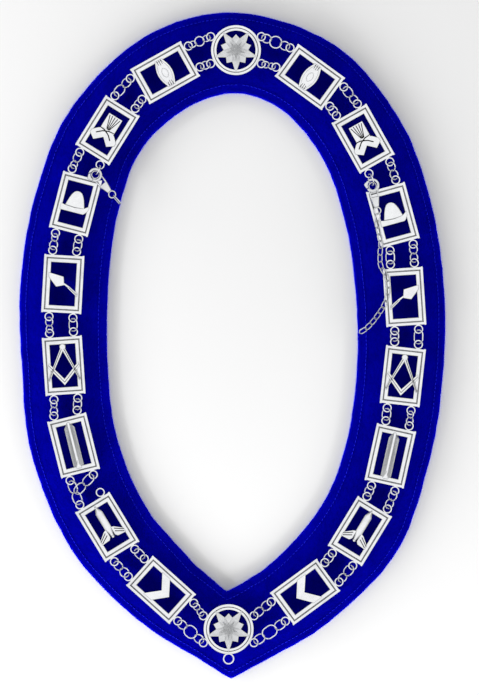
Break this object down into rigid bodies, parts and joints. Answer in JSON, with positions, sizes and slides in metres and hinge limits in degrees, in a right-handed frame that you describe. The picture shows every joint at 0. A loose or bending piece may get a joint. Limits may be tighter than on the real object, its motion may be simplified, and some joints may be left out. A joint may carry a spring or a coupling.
{
  "type": "masonic chain collar",
  "caption": "Velvet collar band, round at the neck and pointed below, carrying a silver chain of pierced plaques, star medallions and jump rings, with two clasps of a safety chain.",
  "frame": {"origin": "middle of the band's outline, on the surface that the collar lies on", "axes": "+Y from the pointed end to the back of the neck, +Z away from the surface, towards the viewer"},
  "size_m": [0.324, 0.5066, 0.0109],
  "materials": {
    "velvet": "royal blue velvet pile with topstitched edges",
    "silver": "polished silver plate with dark grooves"
  },
  "bodies": {
    "root": {"velvet_collar": "velvet", "medallion_top": "silver", "medallion_bottom": "silver", "plaque_left_1": "silver", "plaque_left_2": "silver", "plaque_left_3": "silver", "plaque_left_4": "silver", "plaque_left_5": "silver", "plaque_left_6": "silver", "plaque_left_7": "silver", "plaque_left_8": "silver", "plaque_right_1": "silver", "plaque_right_2": "silver", "plaque_right_3": "silver", "plaque_right_4": "silver", "plaque_right_5": "silver", "plaque_right_6": "silver", "plaque_right_7": "silver", "plaque_right_8": "silver", "rings_left_0_outer": "silver", "rings_left_0_inner": "silver", "rings_left_1_outer": "silver", "rings_left_1_inner": "silver", "rings_left_2_outer": "silver", "rings_left_2_inner": "silver", "rings_left_3_outer": "silver", "rings_left_3_inner": "silver", "rings_left_4_outer": "silver", "rings_left_4_inner": "silver", "rings_left_5_outer": "silver", "rings_left_5_inner": "silver", "rings_left_6": "silver", "rings_left_7_outer": "silver", "rings_left_7_inner": "silver", "rings_left_8_outer": "silver", "rings_left_8_inner": "silver", "rings_right_0_outer": "silver", "rings_right_0_inner": "silver", "rings_right_1_outer": "silver", "rings_right_1_inner": "silver", "rings_right_2_outer": "silver", "rings_right_2_inner": "silver", "rings_right_3_outer": "silver", "rings_right_3_inner": "silver", "rings_right_4_outer": "silver", "rings_right_4_inner": "silver", "rings_right_5_outer": "silver", "rings_right_5_inner": "silver", "rings_right_6_outer": "silver", "rings_right_6_inner": "silver", "rings_right_7_outer": "silver", "rings_right_7_inner": "silver", "rings_right_8_outer": "silver", "rings_right_8_inner": "silver", "clasp_left": "silver", "clasp_right": "silver", "safety_chain_left": "silver", "safety_chain_right": "silver"},
    "lever_left": {"clasp_lever_left": "silver"},
    "lever_right": {"clasp_lever_right": "silver"}
  },
  "joints": [
    {"name": "lever_left_hinge", "type": "hinge", "parent": "root", "child": "lever_left", "pos_m": [-0.10697, 0.12614, 0.00765], "axis": [0, 0, -1], "range_deg": [0, 18], "stiffness_Nm_per_rad": 0.0005},
    {"name": "lever_right_hinge", "type": "hinge", "parent": "root", "child": "lever_right", "pos_m": [0.10225, 0.12005, 0.00765], "axis": [0, 0, -1], "range_deg": [0, 18], "stiffness_Nm_per_rad": 0.0005}
  ]
}
